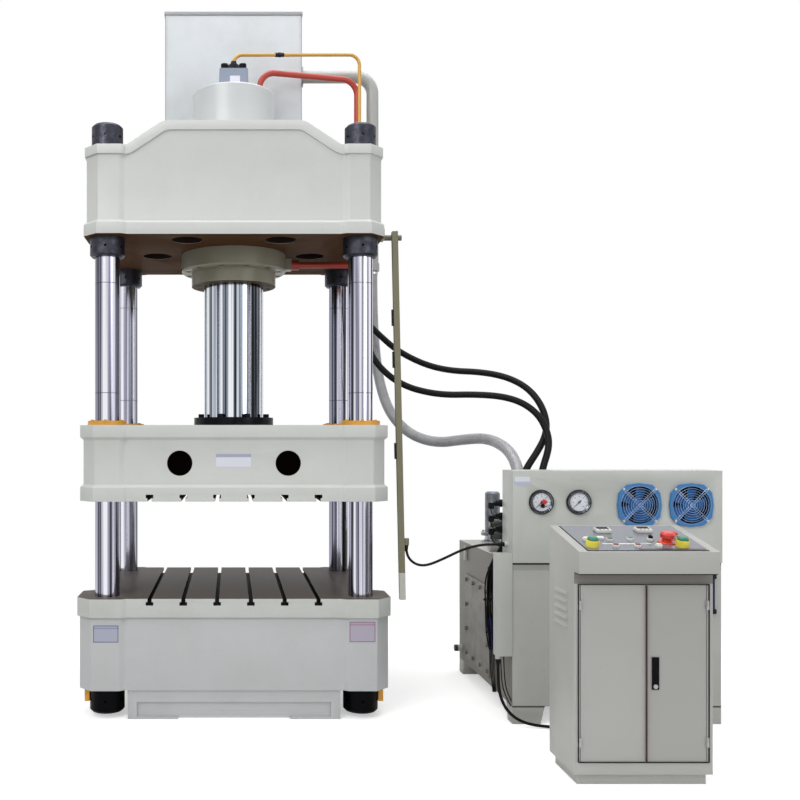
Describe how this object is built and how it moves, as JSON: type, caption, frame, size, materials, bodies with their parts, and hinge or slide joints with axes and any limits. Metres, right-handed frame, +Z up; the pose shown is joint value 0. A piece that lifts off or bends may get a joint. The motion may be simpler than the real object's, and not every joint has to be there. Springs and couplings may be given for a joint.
{
  "type": "hydraulic press",
  "caption": "Column-guided hydraulic press with T-slotted table and slide, a top cylinder and oil tank, a free-standing power unit with gauges and fans, and a control desk.",
  "frame": {"origin": "centre of the table's top face", "axes": "+X to the right, towards the power unit; +Y to the back of the press; +Z up, along the slide's travel"},
  "size_m": [3.409, 2.2, 4.192],
  "materials": {
    "press_paint": "semi-gloss",
    "table_steel": "worn bare steel",
    "column_chrome": "polished",
    "black_steel": "black oxide, satin",
    "yellow_paint": "semi-gloss",
    "cylinder_paint": "semi-gloss",
    "screw_black": "black oxide, satin",
    "valve_paint": "semi-gloss",
    "grey_paint": "semi-gloss",
    "red_paint": "semi-gloss",
    "rail_paint": "semi-gloss",
    "switch_black": "matte",
    "bronze": "turned",
    "unit_paint": "semi-gloss",
    "gauge_metal": "satin",
    "gauge_glass": "clear",
    "needle_black": "matte",
    "fan_blue": "semi-gloss",
    "fan_plastic": "matte",
    "guard_chrome": "polished wire",
    "motor_paint": "semi-gloss",
    "pump_iron": "cast",
    "hose_rubber": "matte",
    "return_rubber": "wire-wound, satin",
    "cable_rubber": "matte",
    "desk_paint": "semi-gloss",
    "panel_paint": "satin",
    "lock_metal": "satin",
    "red_plastic": "gloss",
    "maroon_plastic": "gloss",
    "white_plastic": "gloss",
    "dark_green_plastic": "gloss",
    "green_plastic": "gloss"
  },
  "bodies": {
    "frame": {"bed_box": "press_paint", "bed_table": "table_steel", "crown": "press_paint", "columns": "column_chrome", "column_nuts": "black_steel", "nut_lock_plates": "yellow_paint", "main_cylinder": "cylinder_paint", "cylinder_gland": "cylinder_paint", "cap_screws": "screw_black", "prefill_valve": "valve_paint", "crown_tank": "press_paint", "crown_tank_lid": "press_paint", "return_pipe": "grey_paint", "pressure_pipes": "red_paint", "pilot_pipe": "yellow_paint", "limit_rail": "rail_paint", "limit_switches": "switch_black", "rail_arm": "rail_paint", "reservoir": "unit_paint", "reservoir_hatch": "unit_paint", "terminal_box": "grey_paint", "instrument_box": "unit_paint", "gauge_cases": "gauge_metal", "gauge_glasses": "gauge_glass", "fan_housings": "fan_blue", "fan_guards": "guard_chrome", "pump_motor": "motor_paint", "pump": "pump_iron", "valve_stack": "valve_paint", "oil_filter": "grey_paint", "hose_upper": "hose_rubber", "hose_lower": "hose_rubber", "return_hose": "return_rubber", "switch_cable": "cable_rubber", "desk_cable": "cable_rubber", "desk_cabinet": "desk_paint", "desk_panel": "panel_paint"},
    "slide": {"slide_beam": "press_paint", "ram": "column_chrome", "ram_clamp_ring": "black_steel", "ram_clamp_bolts": "screw_black", "column_wipers": "yellow_paint", "guide_bushes": "bronze"},
    "needle_left": {"needle_left": "needle_black"},
    "needle_right": {"needle_right": "needle_black"},
    "fan_rotor_left": {"fan_rotor_left": "fan_plastic"},
    "fan_rotor_right": {"fan_rotor_right": "fan_plastic"},
    "desk_door_left": {"desk_door_left": "desk_paint"},
    "desk_door_right": {"desk_door_right": "desk_paint"},
    "door_lock_lever": {"door_lock_lever": "lock_metal"},
    "emergency_stop": {"emergency_stop": "red_plastic"},
    "mode_selector": {"mode_selector": "switch_black"},
    "push_button_maroon_left": {"push_button_maroon_left": "maroon_plastic"},
    "push_button_maroon_right": {"push_button_maroon_right": "maroon_plastic"},
    "push_button_white_front": {"push_button_white_front": "white_plastic"},
    "push_button_white_left": {"push_button_white_left": "white_plastic"},
    "push_button_dark_green": {"push_button_dark_green": "dark_green_plastic"},
    "push_button_green": {"push_button_green": "green_plastic"},
    "palm_button_left": {"palm_button_left": "green_plastic"},
    "palm_button_right": {"palm_button_right": "green_plastic"}
  },
  "joints": [
    {"name": "slide_travel", "type": "slide", "parent": "frame", "child": "slide", "axis": [0, 0, 1], "range_m": [-0.068, 0.732]},
    {"name": "gauge_left", "type": "hinge", "parent": "frame", "child": "needle_left", "pos_m": [1.613, -0.674, 0.52], "axis": [0, 1, 0], "range_deg": [0, 270], "stiffness_Nm_per_rad": 0.002},
    {"name": "gauge_right", "type": "hinge", "parent": "frame", "child": "needle_right", "pos_m": [1.809, -0.674, 0.52], "axis": [0, 1, 0], "range_deg": [0, 270], "stiffness_Nm_per_rad": 0.002},
    {"name": "fan_left_spin", "type": "hinge", "parent": "frame", "child": "fan_rotor_left", "pos_m": [2.125, -0.63, 0.505], "axis": [0, 1, 0], "continuous": true},
    {"name": "fan_right_spin", "type": "hinge", "parent": "frame", "child": "fan_rotor_right", "pos_m": [2.397, -0.63, 0.505], "axis": [0, 1, 0], "continuous": true},
    {"name": "door_left_hinge", "type": "hinge", "parent": "frame", "child": "desk_door_left", "pos_m": [1.493, -1.5015, 0], "axis": [0, 0, -1], "range_deg": [0, 110]},
    {"name": "door_right_hinge", "type": "hinge", "parent": "frame", "child": "desk_door_right", "pos_m": [2.043, -1.5015, 0], "axis": [0, 0, 1], "range_deg": [0, 110]},
    {"name": "lock_lever_tilt", "type": "hinge", "parent": "desk_door_right", "child": "door_lock_lever", "pos_m": [1.818, -1.4965, -0.1005], "axis": [-1, 0, 0], "range_deg": [0, 35]},
    {"name": "emergency_stop_press", "type": "slide", "parent": "frame", "child": "emergency_stop", "axis": [0, 0.2143, -0.9768], "range_m": [0, 0.006]},
    {"name": "mode_selector_turn", "type": "hinge", "parent": "frame", "child": "mode_selector", "pos_m": [1.838, -1.407, 0.40148], "axis": [0, -0.2143, 0.9768], "range_deg": [-45, 45]},
    {"name": "push_button_maroon_left_press", "type": "slide", "parent": "frame", "child": "push_button_maroon_left", "axis": [0, 0.2143, -0.9768], "range_m": [0, 0.003], "stiffness_N_per_m": 400},
    {"name": "push_button_maroon_right_press", "type": "slide", "parent": "frame", "child": "push_button_maroon_right", "axis": [0, 0.2143, -0.9768], "range_m": [0, 0.003], "stiffness_N_per_m": 400},
    {"name": "push_button_white_front_press", "type": "slide", "parent": "frame", "child": "push_button_white_front", "axis": [0, 0.2143, -0.9768], "range_m": [0, 0.003], "stiffness_N_per_m": 400},
    {"name": "push_button_white_left_press", "type": "slide", "parent": "frame", "child": "push_button_white_left", "axis": [0, 0.2143, -0.9768], "range_m": [0, 0.003], "stiffness_N_per_m": 400},
    {"name": "push_button_dark_green_press", "type": "slide", "parent": "frame", "child": "push_button_dark_green", "axis": [0, 0.2143, -0.9768], "range_m": [0, 0.003], "stiffness_N_per_m": 400},
    {"name": "push_button_green_press", "type": "slide", "parent": "frame", "child": "push_button_green", "axis": [0, 0.2143, -0.9768], "range_m": [0, 0.003], "stiffness_N_per_m": 400},
    {"name": "palm_button_left_press", "type": "slide", "parent": "frame", "child": "palm_button_left", "axis": [0, 0.2143, -0.9768], "range_m": [0, 0.006], "stiffness_N_per_m": 500},
    {"name": "palm_button_right_press", "type": "slide", "parent": "frame", "child": "palm_button_right", "axis": [0, 0.2143, -0.9768], "range_m": [0, 0.006], "stiffness_N_per_m": 500}
  ]
}
